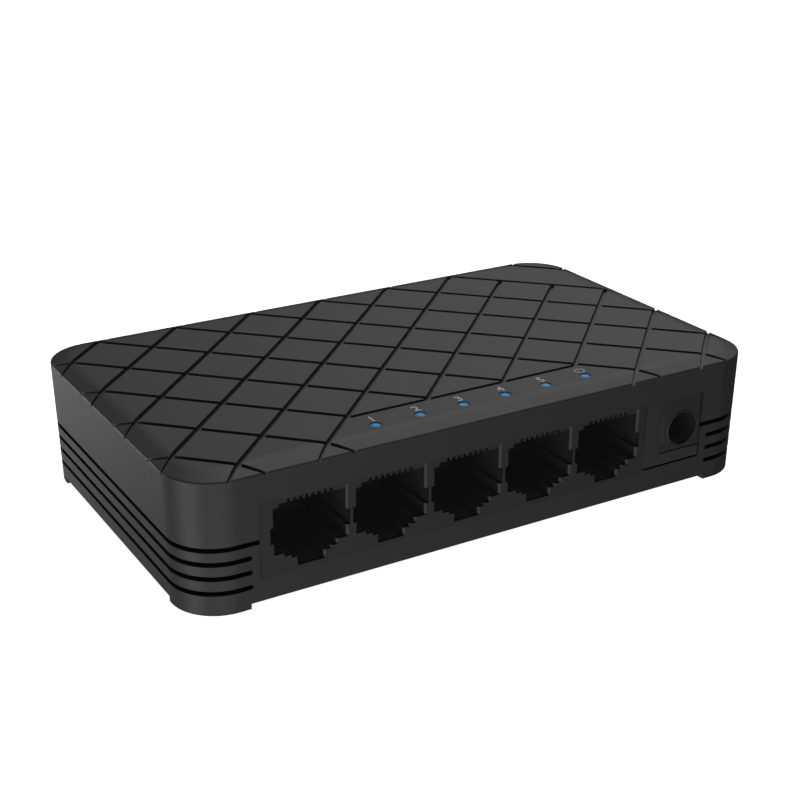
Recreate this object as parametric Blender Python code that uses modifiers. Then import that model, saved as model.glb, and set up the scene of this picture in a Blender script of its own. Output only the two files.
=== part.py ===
"""A five-port desktop network switch, built as an assembly of separate pieces.

Frame: +X runs to the right along the port side, -Y is the port side (front), +Z is up.
The origin is at the middle of the footprint, on the surface that the feet rest on.
Sizes below are in millimetres. add_object converts them to metres, once, as a piece is made.
"""

import math

import bmesh
import bpy
from mathutils import Matrix, Vector

MM = 0.001
GAP = 0.3  # clearance between pieces that touch on the real product

# Case, outside. WIDTH and DEPTH are taken at the sharp top rim, which is the widest place.
WIDTH = 108.4
DEPTH = 64.8
CORNER_R = 8.2
CORNER_STEPS = 9
BASE_Z = 0.9  # underside between the feet
RIM_Z = 22.1
TOP_Z = 23.0
DRAFT = 0.38 / (RIM_Z - BASE_Z)  # how far the walls lean in, for each mm below the rim
SHOULDER = ((0.0, RIM_Z), (2.44, 22.85), (2.97, 22.95), (3.46, TOP_Z))  # inset, height

# Case, walls and the joint between its two halves.
WALL = 2.0
TOP_PLATE = 2.2
FLOOR = 1.2
SEAM_Z = 11.05
SLIT = 0.66  # height of the open joint line and of the three side grooves below it
LIP_OUT = 1.2  # the lower case's lip starts this far in from the outside
LIP_H = 2.5
SKIRT = LIP_OUT - GAP  # thickness of the upper cover where it passes outside the lip

# Feet and side grooves.
FOOT_X = 44.1
FOOT_Y = 23.6
GROOVE_LEVELS = (8.7, 6.3, 3.8)
GROOVE_DEEP = 1.2
VENT_LENGTH = 13.0
VENT_PITCH = 17.0

# Lattice of cuts in the top: lines at 45 degrees both ways, crossing at (7.36 i, 7.36 j).
LATTICE = 14.72
# Width and depth of a cut that rises to the right (slope 1) or falls to the right (slope -1).
CUTS = {1: (0.74, 0.46), -1: (0.94, 0.54)}
CUT_LINES = range(-5, 6)
STRIP_Y = -22.6  # straight cut behind the row of lights
STRIP_HALF = 22.5
STRIP_CUT = (0.68, 0.5)
STRIP_LINES = (-3, -2, -1)  # lattice lines that end on the straight cut
BADGE_LINES = (4, 5)  # the rising cuts break off between these two, round a plain band

# Front opening.
OPEN_LEFT = -42.5
OPEN_RIGHT = 42.3
OPEN_TOP = 17.25
FRONT_SILL = 4.75

# Row of lights.
LIGHT_XS = [0.2 + 8.04 * (i - 2.5) for i in range(6)]
LIGHT_Y = -27.2
LIGHT_R = 0.95
LIGHT_GAP = 0.12
GUIDE_ARM_Z = (17.5, 18.6)
GUIDE_LEG_Y = (-13.6, -12.0)

# Circuit board.
BOARD_TOP = 4.75
BOARD_THICK = 1.6
BOARD_X = 44.2  # half its width
BOARD_FRONT = -29.4
BOARD_REAR = 24.0
ON_BOARD = BOARD_TOP + GAP

# Jack block, five modular jacks side by side, latch down.
PORTS = 5
PORT_PITCH = 13.97
PORT_FIRST_X = -33.8
BLOCK_X = (-42.25, 29.55)
BLOCK_FRONT = -32.1
BLOCK_REAR = -14.5
BLOCK_TOP = 17.0
PORT_DEEP = 12.6
CARRIER_X = 5.6
CARRIER_Z = (7.6, 16.2)
CONTACTS = 8
CONTACT_PITCH = 1.02
COMB_HALF = 0.28  # half width of the slot over each contact
COMB_TOP = 16.8

# Power jack.
JACK_X = (33.7, 42.1)
JACK_Z = (7.65, 16.85)
JACK_FRONT = -31.95
JACK_REAR = -18.0
JACK_FLANGE = 3.0
BORE = (38.3, 11.2)
BORE_R = 3.0
BORE_DEEP = 10.5
PIN_R = 1.0
PIN_BACK = 4.6  # how far the pin's tip stands behind the jack's face
TONGUE_X = (29.85, 42.05)
TONGUE_BOTTOM = 5.3
TONGUE_THICK = 1.9
JACK_WINDOW = (33.35, 7.35)  # left edge and sill of the window in the tongue

# Screws and posts.
SCREW_XY = [(sx * 48.2, sy * 19.5) for sx in (-1, 1) for sy in (-1, 1)]
SCREW_R = 1.1
HEAD_R = 2.2
HEAD_TOP = 2.1
SCREW_TIP = 13.0
DRIVE_ARM = (1.3, 0.25)  # half sizes of one arm of the cross recess
DRIVE_DEEP = 0.5
PIN_XY = [(-36.0, 20.5), (36.0, 20.5)]
PEG_XY = [(-27.3, -22.0), (14.6, -22.0)]
PRESS_XY = [(-28.0, 20.5), (28.0, 20.5)]


def new_material(name, colour, roughness, metallic=0.0):
    material = bpy.data.materials.new(name)
    material.use_nodes = True
    shader = material.node_tree.nodes["Principled BSDF"]
    shader.inputs["Base Color"].default_value = (*colour, 1.0)
    shader.inputs["Roughness"].default_value = roughness
    shader.inputs["Metallic"].default_value = metallic
    material.diffuse_color = (*colour, 1.0)
    return material


def new_collection(name):
    collection = bpy.data.collections.new(name)
    bpy.context.scene.collection.children.link(collection)
    return collection


def add_object(name, bm, material, at=(0.0, 0.0, 0.0)):
    """Makes a piece from a bmesh in millimetres, and stands it at a place in the assembly."""
    bmesh.ops.scale(bm, vec=(MM, MM, MM), verts=bm.verts)
    bmesh.ops.recalc_face_normals(bm, faces=bm.faces)
    mesh = bpy.data.meshes.new(name)
    bm.to_mesh(mesh)
    bm.free()
    obj = bpy.data.objects.new(name, mesh)
    obj.location = Vector(at) * MM
    if material is None:
        obj.hide_render = True
        obj.display_type = "WIRE"
        CUTTERS.objects.link(obj)
    else:
        mesh.materials.append(material)
        PARTS.objects.link(obj)
        obj.parent = ROOT
    return obj


def boolean(obj, bm, operation="DIFFERENCE"):
    """Cuts a bmesh in millimetres out of a piece, or joins it on."""
    tool = add_object(f"{obj.name}_{operation.lower()}_{len(obj.modifiers)}", bm, None)
    tool.location = obj.location
    modifier = obj.modifiers.new(operation.title(), "BOOLEAN")
    modifier.operation = operation
    modifier.object = tool


def soften(obj, width, segments=1):
    """Breaks a piece's sharp edges."""
    modifier = obj.modifiers.new("Soft edges", "BEVEL")
    modifier.width = width * MM
    modifier.segments = segments
    modifier.limit_method = "ANGLE"
    modifier.angle_limit = math.radians(50)


def add_box(bm, low, high):
    low, high = Vector(low), Vector(high)
    place = Matrix.Translation((low + high) / 2) @ Matrix.Diagonal((*(high - low), 1.0))
    bmesh.ops.create_cube(bm, size=1.0, matrix=place)


def add_rod(bm, centre, radius, low, high, segments=20, axis="Z"):
    """A round bar along Z through centre (x, y), or along Y through centre (x, z)."""
    a, b = centre
    middle = (low + high) / 2
    if axis == "Z":
        place = Matrix.Translation((a, b, middle))
    else:
        place = Matrix.Translation((a, middle, b)) @ Matrix.Rotation(math.pi / 2, 4, "X")
    bmesh.ops.create_cone(
        bm,
        cap_ends=True,
        segments=segments,
        radius1=radius,
        radius2=radius,
        depth=high - low,
        matrix=place,
    )


def add_prism(bm, outline, plane, low, high):
    """Extrudes an outline. Its two numbers are the plane's axes, and low and high the third's."""
    axes = {"XY": (0, 1, 2), "XZ": (0, 2, 1), "YZ": (1, 2, 0)}[plane]
    corners = []
    for point in outline:
        place = Vector((0.0, 0.0, 0.0))
        place[axes[0]], place[axes[1]], place[axes[2]] = point[0], point[1], low
        corners.append(bm.verts.new(place))
    face = bm.faces.new(corners)
    grown = bmesh.ops.extrude_face_region(bm, geom=[face])["geom"]
    step = Vector((0.0, 0.0, 0.0))
    step[axes[2]] = high - low
    moved = [item for item in grown if isinstance(item, bmesh.types.BMVert)]
    bmesh.ops.translate(bm, vec=step, verts=moved)
    return corners + moved


def case_inset(z):
    """How far the leaning outer wall stands in from the rim, at height z."""
    return DRAFT * max(RIM_Z - z, 0.0)


def case_outline(inset):
    """The case's plan outline, a rectangle with round corners, moved in by inset."""
    radius = CORNER_R - inset
    points = []
    for quarter in range(4):
        turn = quarter * math.pi / 2
        sx = 1 if quarter in (0, 3) else -1
        sy = 1 if quarter in (0, 1) else -1
        cx = sx * (WIDTH / 2 - CORNER_R)
        cy = sy * (DEPTH / 2 - CORNER_R)
        for step in range(CORNER_STEPS + 1):
            angle = turn + step / CORNER_STEPS * math.pi / 2
            points.append((cx + radius * math.cos(angle), cy + radius * math.sin(angle)))
    return points


def add_rings(bm, rings):
    """Skins closed rings of points, one after another, and caps the first and last."""
    made = [[bm.verts.new(point) for point in ring] for ring in rings]
    for lower, upper in zip(made, made[1:]):
        for i in range(len(lower)):
            j = (i + 1) % len(lower)
            bm.faces.new((lower[i], lower[j], upper[j], upper[i]))
    bm.faces.new(made[0])
    bm.faces.new(made[-1])


def add_loft(bm, levels):
    """Skins the case outline through (inset, height) levels."""
    rings = [[(x, y, z) for x, y in case_outline(inset)] for inset, z in levels]
    add_rings(bm, rings)


def inset_of(place):
    """How far a place in plan is inside the case's rim."""
    qx = abs(place.x) - (WIDTH / 2 - CORNER_R)
    qy = abs(place.y) - (DEPTH / 2 - CORNER_R)
    outside = math.hypot(max(qx, 0.0), max(qy, 0.0))
    return CORNER_R - outside - min(max(qx, qy), 0.0)


def top_height(inset):
    """Height of the cover's top at a distance inside the rim."""
    for (near, low), (far, high) in zip(SHOULDER, SHOULDER[1:]):
        if inset < far:
            return low + (high - low) * max(inset - near, 0.0) / (far - near)
    return TOP_Z


def place_at_inset(outer, inner, inset):
    """The place between two others in plan that is this far inside the rim."""
    for _ in range(40):
        middle = (outer + inner) / 2
        if inset_of(middle) < inset:
            outer = middle
        else:
            inner = middle
    return (outer + inner) / 2


def add_cut(bm, start, end, size):
    """A cut between two places in plan, whose floor keeps its depth below the cover's top."""
    width, depth = size
    start, end = Vector(start), Vector(end)
    places = [start.lerp(end, i / 200) for i in range(201)]
    deepest = max(places, key=inset_of)
    levels = [-0.6] + [inset for inset, _ in SHOULDER]
    run = []
    for outer in (start, end):
        reached = [level for level in levels if inset_of(outer) < level < inset_of(deepest)]
        side = [place_at_inset(outer, deepest, level) for level in reached]
        if inset_of(outer) > 0:
            side.insert(0, outer)
        run.append(side)
    stations = run[0] + run[1][::-1]
    if len(stations) < 2:
        return
    along = (end - start).normalized()
    across = Vector((-along.y, along.x)) * width / 2
    rings = []
    for place in stations:
        floor = top_height(inset_of(place)) - depth
        low, high = place - across, place + across
        rings.append([(*low, floor), (*high, floor), (*high, TOP_Z + 1), (*low, TOP_Z + 1)])
    add_rings(bm, rings)


def add_lattice(bm, slope):
    """The parallel cuts that rise to the right (slope 1) or fall to the right (slope -1)."""
    for line in CUT_LINES:
        offset = LATTICE * line
        # The cut's centre line is y = slope * x + offset.
        start, end = -WIDTH, WIDTH
        if line in STRIP_LINES:
            stop = (STRIP_Y - offset) / slope
            start, end = (stop, WIDTH) if slope > 0 else (-WIDTH, stop)
        spans = [(start, end)]
        if slope > 0:
            near, far = [(LATTICE * badge - offset) / 2 for badge in BADGE_LINES]
            spans = [(start, near), (far, end)]
        for low, high in spans:
            if high > low:
                start, end = (low, slope * low + offset), (high, slope * high + offset)
                add_cut(bm, start, end, CUTS[slope])


def make_upper_cover():
    seam = SEAM_Z + SLIT / 2
    lap = seam + LIP_H
    under = TOP_Z - TOP_PLATE
    levels = [(inset, z) for inset, z in reversed(SHOULDER)]
    levels += [
        (case_inset(seam), seam),
        (case_inset(seam) + SKIRT, seam),
        (case_inset(lap) + SKIRT, lap),
        (case_inset(lap) + WALL, lap),
        (case_inset(under) + WALL, under),
    ]
    bm = bmesh.new()
    add_loft(bm, levels)
    cover = add_object("upper_cover", bm, BLACK_CASE)

    opening = bmesh.new()
    add_box(opening, (OPEN_LEFT, -DEPTH, 0), (OPEN_RIGHT, -DEPTH / 2 + 4, OPEN_TOP))
    boolean(cover, opening)

    # The tongue hangs between the jack block and the power jack, and passes below the jack.
    tongue = bmesh.new()
    left, right = TONGUE_X
    window_left, window_sill = JACK_WINDOW
    root = OPEN_TOP + 1.5
    outline = [
        (left, TONGUE_BOTTOM),
        (right, TONGUE_BOTTOM),
        (right, window_sill),
        (window_left, window_sill),
        (window_left, root),
        (left, root),
    ]
    add_prism(tongue, outline, "XZ", -DEPTH / 2, -DEPTH / 2 + TONGUE_THICK)
    for vert in tongue.verts:
        vert.co.y += case_inset(vert.co.z)
    boolean(cover, tongue, "UNION")

    posts = bmesh.new()
    for centre in SCREW_XY:
        add_rod(posts, centre, 2.6, TONGUE_BOTTOM, under + 0.5)
    for centre in PRESS_XY:
        add_rod(posts, centre, 1.8, ON_BOARD, under + 0.5, segments=12)
    boolean(cover, posts, "UNION")

    holes = bmesh.new()
    for centre in SCREW_XY:
        add_rod(holes, centre, SCREW_R + GAP, 4, SCREW_TIP + 2)
    for x in LIGHT_XS:
        add_rod(holes, (x, LIGHT_Y), LIGHT_R + LIGHT_GAP, under - 1, TOP_Z + 1)
    boolean(cover, holes)

    for slope in (1, -1):
        lattice = bmesh.new()
        add_lattice(lattice, slope)
        boolean(cover, lattice)
    strip = bmesh.new()
    add_cut(strip, (-STRIP_HALF, STRIP_Y), (STRIP_HALF, STRIP_Y), STRIP_CUT)
    boolean(cover, strip)


def side_groove_outline(side, z):
    """The plan of one groove cutter: a U around one end of the case, open inwards."""
    inside = [(x, y) for x, y in case_outline(case_inset(z) + GROOVE_DEEP) if x * side > FOOT_X]
    inside.sort(key=lambda point: math.atan2(point[1], (point[0] - side * FOOT_X) * side))
    edge = inside[-1][1]
    far_x, far_y = side * WIDTH, DEPTH
    return [
        (side * FOOT_X, -edge),
        *inside,
        (side * FOOT_X, edge),
        (side * FOOT_X, far_y),
        (far_x, far_y),
        (far_x, -far_y),
        (side * FOOT_X, -far_y),
    ]


def make_lower_case():
    seam = SEAM_Z - SLIT / 2
    lip = seam + LIP_H
    floor = BASE_Z + FLOOR
    bm = bmesh.new()
    levels = [
        (case_inset(0), 0.0),
        (case_inset(seam), seam),
        (case_inset(seam) + LIP_OUT, seam),
        (case_inset(lip) + LIP_OUT, lip),
        (case_inset(lip) + WALL, lip),
        (case_inset(floor) + WALL, floor),
    ]
    add_loft(bm, levels)
    case = add_object("lower_case", bm, BLACK_CASE)

    # A cross-shaped cut leaves a foot at each corner.
    cross = bmesh.new()
    far = WIDTH
    outline = [
        (FOOT_X, -far), (FOOT_X, -FOOT_Y), (far, -FOOT_Y), (far, FOOT_Y),
        (FOOT_X, FOOT_Y), (FOOT_X, far), (-FOOT_X, far), (-FOOT_X, FOOT_Y),
        (-far, FOOT_Y), (-far, -FOOT_Y), (-FOOT_X, -FOOT_Y), (-FOOT_X, -far),
    ]
    add_prism(cross, outline, "XY", -1, BASE_Z)
    boolean(case, cross)

    opening = bmesh.new()
    add_box(opening, (OPEN_LEFT, -DEPTH, FRONT_SILL), (OPEN_RIGHT, -DEPTH / 2 + 4, RIM_Z))
    boolean(case, opening)

    posts = bmesh.new()
    for centre in SCREW_XY:
        add_rod(posts, centre, 3.4, floor - 0.6, TONGUE_BOTTOM - GAP)
    for centre in PIN_XY:
        add_rod(posts, centre, 2.4, floor - 0.6, BOARD_TOP - BOARD_THICK - GAP)
    boolean(case, posts, "UNION")
    pins = bmesh.new()
    for centre in PIN_XY:
        add_rod(pins, centre, 1.2, floor - 0.3, BOARD_TOP + 1.2, segments=12)
    boolean(case, pins, "UNION")

    holes = bmesh.new()
    for centre in SCREW_XY:
        add_rod(holes, centre, SCREW_R + GAP, floor, TONGUE_BOTTOM + 1)
    boolean(case, holes)
    sinks = bmesh.new()
    for centre in SCREW_XY:
        add_rod(sinks, centre, HEAD_R + GAP, -1, HEAD_TOP + GAP)
    boolean(case, sinks)

    # Vents pass through the backs of the grooves, along both ends of the case.
    grooves = bmesh.new()
    vents = bmesh.new()
    for z in GROOVE_LEVELS:
        for side in (-1, 1):
            outline = side_groove_outline(side, z)
            add_prism(grooves, outline, "XY", z - SLIT / 2, z + SLIT / 2)
            reach = sorted((side * (WIDTH / 2 - WALL - 1.5), side * (WIDTH / 2 - 0.5)))
            for step in (-1, 0, 1):
                y = step * VENT_PITCH
                low = (reach[0], y - VENT_LENGTH / 2, z - SLIT / 2)
                add_box(vents, low, (reach[1], y + VENT_LENGTH / 2, z + SLIT / 2))
    boolean(case, grooves)
    boolean(case, vents)


def make_case_screws():
    for number, centre in enumerate(SCREW_XY, 1):
        bm = bmesh.new()
        add_rod(bm, (0, 0), HEAD_R, 0, HEAD_TOP - BASE_Z - 0.1, segments=24)
        screw = add_object(f"case_screw_{number}", bm, STEEL, (*centre, BASE_Z + 0.1))
        shank = bmesh.new()
        add_rod(shank, (0, 0), SCREW_R, 0.8, SCREW_TIP - BASE_Z, segments=12)
        boolean(screw, shank, "UNION")
        for half_x, half_y in (DRIVE_ARM, DRIVE_ARM[::-1]):
            slot = bmesh.new()
            add_box(slot, (-half_x, -half_y, -1), (half_x, half_y, DRIVE_DEEP))
            boolean(screw, slot)


def make_circuit_board():
    bm = bmesh.new()
    add_box(
        bm,
        (-BOARD_X, BOARD_FRONT, BOARD_TOP - BOARD_THICK),
        (BOARD_X, BOARD_REAR, BOARD_TOP),
    )
    board = add_object("circuit_board", bm, GREEN_BOARD)
    holes = bmesh.new()
    for centre in PIN_XY:
        add_rod(holes, centre, 1.2 + GAP, 0, BOARD_TOP + 1, segments=12)
    for centre in PEG_XY:
        add_rod(holes, centre, 1.5 + GAP, 0, BOARD_TOP + 1, segments=12)
    boolean(board, holes)


def port_outline(centre_x):
    """One jack's mouth, from the comb of contact slots above to the latch notch below."""
    half = [
        (2.45, 5.4), (2.45, 6.7), (3.4, 6.7), (3.4, 7.15), (4.5, 7.15), (4.5, 8.0),
        (6.33, 8.0), (6.33, 9.92), (6.7, 9.92), (6.7, 12.65), (6.33, 12.65),
        (6.33, 15.7), (5.4, 16.2),
    ]
    right = [(centre_x + x, z) for x, z in half]
    left = [(centre_x - x, z) for x, z in reversed(half)]
    return right + left


def make_jack_block():
    bm = bmesh.new()
    low = (BLOCK_X[0], BLOCK_FRONT, ON_BOARD)
    add_box(bm, low, (BLOCK_X[1], BLOCK_REAR, BLOCK_TOP))
    block = add_object("rj45_housing", bm, BLACK_NYLON)

    mouths = bmesh.new()
    for x in PORT_XS:
        add_prism(mouths, port_outline(x), "XZ", BLOCK_FRONT - 1, BLOCK_FRONT + PORT_DEEP)
    boolean(block, mouths)

    # Behind each mouth a pocket, open at the rear, takes the carrier that holds the contacts.
    pockets = bmesh.new()
    half = CARRIER_X + GAP
    for x in PORT_XS:
        low = (x - half, BLOCK_FRONT + PORT_DEEP - 1, CARRIER_Z[0] - GAP)
        add_box(pockets, low, (x + half, BLOCK_REAR + 1, CARRIER_Z[1] + GAP))
    boolean(block, pockets)

    # The comb: a slot over each contact, open at the front.
    comb = bmesh.new()
    for x in PORT_XS:
        for i in range(CONTACTS):
            centre = x + (i - (CONTACTS - 1) / 2) * CONTACT_PITCH
            low = (centre - COMB_HALF, BLOCK_FRONT - 1, CARRIER_Z[1] - 0.4)
            high = (centre + COMB_HALF, BLOCK_FRONT + PORT_DEEP - 0.5, COMB_TOP)
            add_box(comb, low, high)
    boolean(block, comb)

    pegs = bmesh.new()
    for centre in PEG_XY:
        add_rod(pegs, centre, 1.5, BOARD_TOP - BOARD_THICK, ON_BOARD + 0.2, segments=12)
    boolean(block, pegs, "UNION")


def contact_outline():
    """One spring contact seen from the side, as (y, z): forward under the roof, then back and down."""
    rear = BLOCK_FRONT + PORT_DEEP + 1.5
    turn = BLOCK_FRONT + 2.6  # the bend, inside the mouth
    free = BLOCK_FRONT + 8.4  # the free end
    return [
        (rear, 15.75), (rear, 16.05), (turn, 16.05), (turn - 0.35, 15.85), (turn - 0.2, 15.45),
        (free, 12.85), (free + 0.12, 13.12), (turn + 0.25, 15.6), (turn + 0.3, 15.75),
    ]


def make_contact_sets():
    for number, x in enumerate(PORT_XS, 1):
        bm = bmesh.new()
        low = (-CARRIER_X, BLOCK_FRONT + PORT_DEEP + 0.4, CARRIER_Z[0])
        add_box(bm, low, (CARRIER_X, BLOCK_REAR - 0.2, CARRIER_Z[1]))
        carrier = add_object(f"rj45_contacts_{number}", bm, GOLD, (x, 0, 0))
        springs = bmesh.new()
        for i in range(CONTACTS):
            centre = (i - (CONTACTS - 1) / 2) * CONTACT_PITCH
            add_prism(springs, contact_outline(), "YZ", centre - 0.2, centre + 0.2)
        boolean(carrier, springs, "UNION")


def make_power_jack():
    bm = bmesh.new()
    flange_rear = JACK_FRONT + JACK_FLANGE
    add_box(bm, (JACK_X[0], JACK_FRONT, JACK_Z[0]), (JACK_X[1], flange_rear + 1, JACK_Z[1]))
    jack = add_object("power_jack_housing", bm, BLACK_NYLON)
    body = bmesh.new()
    add_box(body, (JACK_X[0] + 0.2, flange_rear, ON_BOARD), (JACK_X[1] - 0.2, JACK_REAR, 16.0))
    boolean(jack, body, "UNION")
    bore = bmesh.new()
    add_rod(bore, BORE, BORE_R, JACK_FRONT - 1, JACK_FRONT + BORE_DEEP, segments=28, axis="Y")
    boolean(jack, bore)
    channels = bmesh.new()
    pin_rear = JACK_FRONT + BORE_DEEP - 1
    add_rod(channels, BORE, PIN_R + GAP, pin_rear, JACK_REAR + 1, segments=12, axis="Y")
    x, z = BORE
    low = (x - 0.9, JACK_FRONT + PIN_BACK, z + BORE_R - 0.6)
    add_box(channels, low, (x + 0.9, JACK_REAR + 1, z + BORE_R + 1.0))
    boolean(jack, channels)

    pin = bmesh.new()
    tip_y = JACK_FRONT + PIN_BACK
    add_rod(pin, (0, 0), PIN_R, 0, JACK_REAR - 0.5 - tip_y, segments=16, axis="Y")
    pin_object = add_object("power_jack_pin", pin, NICKEL, (x, tip_y, z))
    soften(pin_object, 0.35, 2)

    spring = bmesh.new()
    low_y = JACK_FRONT + 4.9
    outline = [
        (low_y, z + BORE_R + 0.05), (low_y, z + BORE_R + 0.35),
        (JACK_REAR - 0.4, z + BORE_R + 0.35), (JACK_REAR - 0.4, z + BORE_R + 0.05),
        (low_y + 4.6, z + BORE_R + 0.05), (low_y + 3.2, z + BORE_R - 0.55),
        (low_y + 1.8, z + BORE_R - 0.55),
    ]
    add_prism(spring, outline, "YZ", x - 0.6, x + 0.6)
    add_object("power_jack_spring", spring, NICKEL)


def make_light_guide():
    """Six arms run back over the jacks and down to the lights, and a bar ties them together."""
    rear_low, rear_high = GUIDE_LEG_Y
    under, over = GUIDE_ARM_Z
    front = LIGHT_Y - LIGHT_R + 0.1
    outline = [
        (rear_low, 6.3), (rear_high, 6.3), (rear_high, over),
        (front, over), (front, under), (rear_low, under),
    ]
    bm = bmesh.new()
    for x in LIGHT_XS:
        add_prism(bm, outline, "YZ", x - LIGHT_R + 0.1, x + LIGHT_R - 0.1)
    guide = add_object("light_guide", bm, CLEAR)
    posts = bmesh.new()
    for x in LIGHT_XS:
        add_rod(posts, (x, LIGHT_Y), LIGHT_R, under - 0.1, TOP_Z - 0.03)
    boolean(guide, posts, "UNION")
    bar = bmesh.new()
    reach = LIGHT_XS[-1] + 0.5
    add_box(bar, (-reach, -20.5, under + 0.1), (reach, -18.5, over - 0.1))
    boolean(guide, bar, "UNION")
    middle = (rear_low + rear_high) / 2
    for number, x in enumerate(LIGHT_XS, 1):
        package = bmesh.new()
        add_box(package, (-0.8, -0.45, 0), (0.8, 0.45, 0.7))
        led = add_object(f"status_led_{number}", package, LED_BLUE, (x, middle, ON_BOARD))
        soften(led, 0.12)


def make_chip(name, centre, size, leads=0):
    """A moulded package on the board, with leads bent down along its two long sides."""
    half_x, half_y, height = size[0] / 2, size[1] / 2, size[2]
    bm = bmesh.new()
    add_box(bm, (-half_x, -half_y, 0.0 if leads == 0 else 0.15), (half_x, half_y, height))
    chip = add_object(name, bm, EPOXY, (*centre, ON_BOARD))
    soften(chip, 0.2)
    dimple = bmesh.new()
    spot = (-half_x + 1.0, half_y - 1.0)
    add_rod(dimple, spot, 0.35, height - 0.12, height + 1, segments=10)
    boolean(chip, dimple)
    if leads:
        legs = bmesh.new()
        pitch = (size[0] - 1.0) / (leads - 1)
        for i in range(leads):
            x = -half_x + 0.5 + i * pitch
            add_box(legs, (x - 0.2, -half_y - 0.8, 0), (x + 0.2, -half_y + 0.6, 0.3))
            add_box(legs, (x - 0.2, half_y - 0.6, 0), (x + 0.2, half_y + 0.8, 0.3))
        boolean(chip, legs, "UNION")


def make_board_parts():
    make_chip("switch_chip", (-4.0, 12.0), (10.0, 10.0, 0.9))
    make_chip("magnetics_1", (-30.0, -3.5), (15.0, 11.0, 5.6), leads=6)
    make_chip("magnetics_2", (-11.5, -3.5), (15.0, 11.0, 5.6), leads=6)
    make_chip("magnetics_3", (5.0, -3.5), (9.5, 11.0, 5.6), leads=4)
    make_chip("voltage_regulator", (27.0, -8.0), (4.9, 3.9, 1.5), leads=4)
    make_chip("settings_memory", (10.0, 14.0), (4.9, 3.9, 1.5), leads=4)
    make_chip("input_diode", (37.9, -13.5), (4.3, 2.6, 2.2), leads=2)

    can = bmesh.new()
    outline = []
    for i in range(20):
        angle = 2 * math.pi * i / 20
        end = math.copysign(3.2, math.cos(angle))
        outline.append((end + 2.0 * math.cos(angle), 2.0 * math.sin(angle)))
    add_prism(can, outline, "XY", 0, 3.4)
    crystal = add_object("crystal", can, NICKEL, (-17.0, 12.0, ON_BOARD))
    soften(crystal, 0.3)

    coil = bmesh.new()
    add_box(coil, (-3.2, -3.2, 0), (3.2, 3.2, 3.0))
    inductor = add_object("power_inductor", coil, EPOXY, (26.0, 0.0, ON_BOARD))
    soften(inductor, 0.9)
    for number, (x, y) in enumerate(((35.5, -3.0), (35.5, 6.0)), 1):
        can = bmesh.new()
        add_box(can, (-3.3, -3.3, 0), (3.3, 3.3, 0.9))
        capacitor = add_object(f"capacitor_{number}", can, ALUMINIUM, (x, y, ON_BOARD))
        drum = bmesh.new()
        add_rod(drum, (0, 0), 3.1, 0.5, 7.4, segments=24)
        boolean(capacitor, drum, "UNION")


for old in list(bpy.data.objects):
    bpy.data.objects.remove(old, do_unlink=True)

PARTS = new_collection("network_switch")
CUTTERS = new_collection("cutters")
ROOT = bpy.data.objects.new("switch_frame", None)
PARTS.objects.link(ROOT)

BLACK_CASE = new_material("black_case_plastic", (0.045, 0.045, 0.046), 0.55)
BLACK_NYLON = new_material("black_nylon", (0.02, 0.02, 0.021), 0.5)
GREEN_BOARD = new_material("green_board", (0.02, 0.13, 0.05), 0.4)
EPOXY = new_material("moulded_epoxy", (0.025, 0.025, 0.027), 0.45)
GOLD = new_material("gold_contacts", (0.75, 0.52, 0.2), 0.3, 1.0)
NICKEL = new_material("nickel_plate", (0.66, 0.64, 0.6), 0.3, 1.0)
STEEL = new_material("zinc_steel", (0.55, 0.55, 0.56), 0.35, 1.0)
ALUMINIUM = new_material("aluminium_can", (0.7, 0.7, 0.72), 0.35, 1.0)
CLEAR = new_material("clear_guide", (0.75, 0.85, 0.95), 0.2)
LED_BLUE = new_material("led_package", (0.1, 0.35, 0.9), 0.3)

PORT_XS = [PORT_FIRST_X + PORT_PITCH * i for i in range(PORTS)]

make_upper_cover()
make_lower_case()
make_case_screws()
make_circuit_board()
make_jack_block()
make_contact_sets()
make_power_jack()
make_light_guide()
make_board_parts()
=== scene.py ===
"""Looks of a five-port desktop network switch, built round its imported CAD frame.

Sizes below are in millimetres, in the CAD's frame: +X right, -Y the port side, +Z up, and the
origin on the surface that the feet rest on. finish_piece converts a piece to metres.
"""

import math

import bmesh
import bpy
from mathutils import Matrix, Vector


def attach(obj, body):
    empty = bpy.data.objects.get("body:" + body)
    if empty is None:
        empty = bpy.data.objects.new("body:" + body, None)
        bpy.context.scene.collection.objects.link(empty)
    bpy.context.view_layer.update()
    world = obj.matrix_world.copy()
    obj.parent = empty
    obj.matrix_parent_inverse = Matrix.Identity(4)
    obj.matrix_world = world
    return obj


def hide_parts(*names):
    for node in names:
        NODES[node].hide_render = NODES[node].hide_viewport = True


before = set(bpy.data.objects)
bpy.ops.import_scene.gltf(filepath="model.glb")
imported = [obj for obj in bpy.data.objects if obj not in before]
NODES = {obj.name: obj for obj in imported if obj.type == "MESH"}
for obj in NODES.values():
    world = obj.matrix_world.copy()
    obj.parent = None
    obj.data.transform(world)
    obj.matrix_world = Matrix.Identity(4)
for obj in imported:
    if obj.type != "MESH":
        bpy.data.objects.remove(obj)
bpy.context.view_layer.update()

MM = 0.001

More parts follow.
